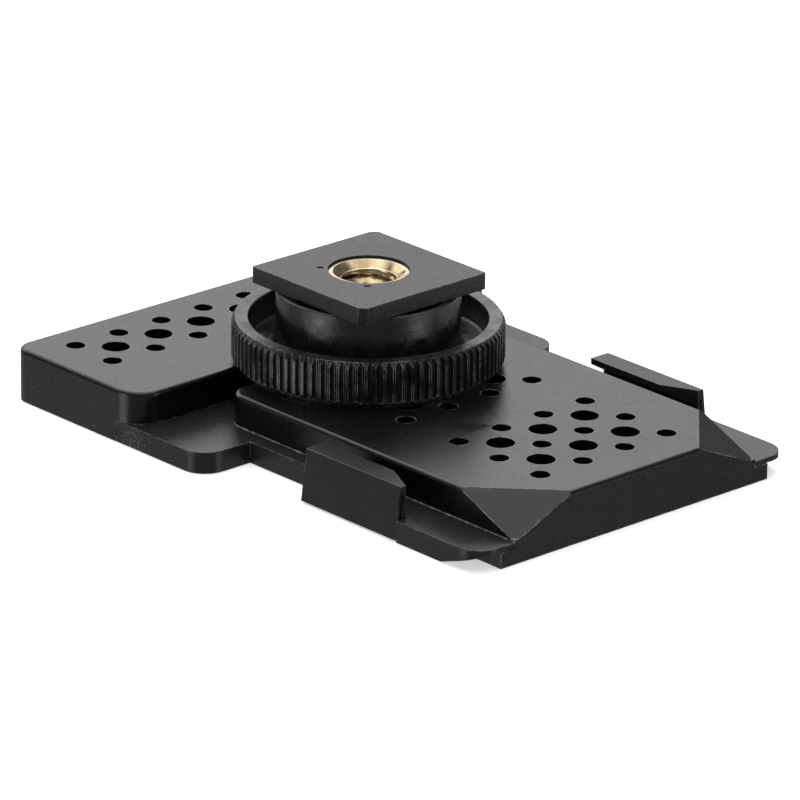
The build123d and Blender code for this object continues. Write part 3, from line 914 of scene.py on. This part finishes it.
def placesOf(node):
    # middle of each separate solid in a node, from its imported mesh
    mesh = bmesh.new()
    mesh.from_mesh(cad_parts[node].data)
    bmesh.ops.remove_doubles(mesh, verts=mesh.verts, dist=0.002 * mm)
    unseen = set(mesh.verts)
    middles = []
    while unseen:
        island, queue = [], [unseen.pop()]
        while queue:
            vert = queue.pop()
            island.append(vert.co.copy())
            for edge in vert.link_edges:
                other = edge.other_vert(vert)
                if other in unseen:
                    unseen.remove(other)
                    queue.append(other)
        lows = [min(p[i] for p in island) for i in (0, 1)]
        highs = [max(p[i] for p in island) for i in (0, 1)]
        middles.append(((lows[0] + highs[0]) / 2, (lows[1] + highs[1]) / 2, 0.0))
    mesh.free()
    return sorted(middles)


def screwGroup(name, node, shape):
    data = bpy.data.meshes.new(name)
    data.from_pydata(placesOf(node), [], [])
    made = bpy.data.objects.new(name, data)
    bpy.context.scene.collection.objects.link(made)
    useTree(made, placeScrews, {"Screw": shape, "Turn": padScrew["turn"], "Material": platedSteel})
    return finishPiece(made, "plate", platedSteel, [node])


screwShape = makeScrewShape()
screwGroup("endPadScrews", "end_pad_screws", screwShape)
screwGroup("centerPadScrews", "center_pad_screws", screwShape)
bpy.data.objects.remove(screwShape)
stopScrew = {"softEdge": 0.05 * mm}
finishPiece(cadCopy("stopScrew", "stem_stop_screw"), "foot", platedSteel, ["stem_stop_screw"],
            stopScrew["softEdge"])
print("rings and screws ready")


floor = {"halfSize": 4.0, "drop": 0.05 * mm, "glow": 0.55}


def makeFloor():
    mesh = bmesh.new()
    bmesh.ops.create_grid(mesh, x_segments=1, y_segments=1, size=floor["halfSize"])
    made = makeObject("floor", mesh)
    made.location.z = -floor["drop"]
    material, shader, place = startMaterial("paleFloor")
    cloud = noise(place, 0.4, 2.0)
    tone = mixColour(cloud, grey(0.93), grey(0.96))
    finishMaterial(shader, place, tone, 0.75 + cloud * 0.1, cloud, 0.0001)
    shader.inputs["Emission Color"].default_value = (1, 1, 1, 1)
    shader.inputs["Emission Strength"].default_value = floor["glow"]
    made.data.materials.append(material)
    made.visible_glossy = False
    made.visible_diffuse = False
    made.visible_shadow = False


sky = {
    "table": 0.27, "room": 0.2, "zenith": 1.4,
    "panels": [
        {"angle": -14.6, "strength": 2.2, "width": (0.94, 0.995), "height": (-0.75, -0.2, 0.15, 0.5)},
        {"angle": 111.4, "strength": 1.8, "width": (0.95, 0.995), "height": (-0.75, -0.2, 0.15, 0.5)},
        {"angle": -106, "strength": 1.5, "width": (0.7, 0.88), "height": (0.12, 0.3, 0.75, 0.95)},
        {"angle": -50, "strength": 0.22, "width": (0.8, 0.96), "height": (-0.75, -0.5, -0.25, -0.1)},
        {"angle": 168, "strength": 0.9, "width": (0.85, 0.96), "height": (-0.3, -0.1, 0.1, 0.25)},
    ],
}


def makeSky():
    # a pale table below, a dim room, a bright ceiling and soft panels round the object
    world = bpy.data.worlds.new("softRoom")
    bpy.context.scene.world = world
    world.use_nodes = True
    tree = world.node_tree
    start = Wire(tree, None)
    direction = start.node("ShaderNodeTexCoord", None, None, "Generated")
    along, across, up = direction.parts()
    flat = (along * along + across * across + 0.0001) ** 0.5
    total = sky["table"] * (1 - up.step(-0.05, 0.02)) + sky["room"] * up.step(-0.02, 0.05)
    total = total + sky["zenith"] * up.step(0.7, 0.93)
    for panel in sky["panels"]:
        turn = math.radians(panel["angle"])
        facing = (along * math.sin(turn) - across * math.cos(turn)) / flat
        low, full, fade, high = panel["height"]
        band = up.step(low, full) * (1 - up.step(fade, high))
        total = total + facing.step(*panel["width"]) * band * panel["strength"]
    background = tree.nodes["Background"]
    tree.links.new(total.socket, background.inputs["Color"])
    background.inputs["Strength"].default_value = 1.0


topBox = {"place": (-0.3, 0.35, 0.7), "size": (0.5, 0.5), "power": 1.2}


def makeTopBox():
    # a soft square lamp aimed at the middle of the plate
    light = bpy.data.lights.new("topBox", "AREA")
    light.shape = "RECTANGLE"
    light.size, light.size_y = topBox["size"]
    light.energy = topBox["power"]
    made = bpy.data.objects.new("topBox", light)
    bpy.context.scene.collection.objects.link(made)
    made.location = topBox["place"]
    made.rotation_euler = (-Vector(topBox["place"])).to_track_quat("-Z", "Y").to_euler()


view = {
    "azimuth": 47.438, "elevation": 20.997, "roll": 0.744, "distance": 0.7674, "lens": 308.5,
    "aim": (-4.71 * mm, 3.05 * mm, 1.43 * mm),
}


def makeCamera():
    turn, lift, roll = (math.radians(view[key]) for key in ("azimuth", "elevation", "roll"))
    back = Vector((math.sin(turn) * math.cos(lift), -math.cos(turn) * math.cos(lift), math.sin(lift)))
    right = Vector((math.cos(turn), math.sin(turn), 0))
    up = back.cross(right)
    rightRolled = right * math.cos(roll) + up * math.sin(roll)
    upRolled = up * math.cos(roll) - right * math.sin(roll)
    data = bpy.data.cameras.new("camera")
    data.lens = view["lens"]
    data.sensor_width = 36
    data.clip_start = 0.01
    camera = bpy.data.objects.new("camera", data)
    bpy.context.scene.collection.objects.link(camera)
    facing = Matrix((rightRolled, upRolled, back)).transposed()
    place = Vector(view["aim"]) + back * view["distance"]
    camera.matrix_world = Matrix.Translation(place) @ facing.to_4x4()
    bpy.context.scene.camera = camera


makeFloor()
makeSky()
makeTopBox()
makeCamera()
bpy.context.scene.view_settings.view_transform = "Standard"
print("stage ready")
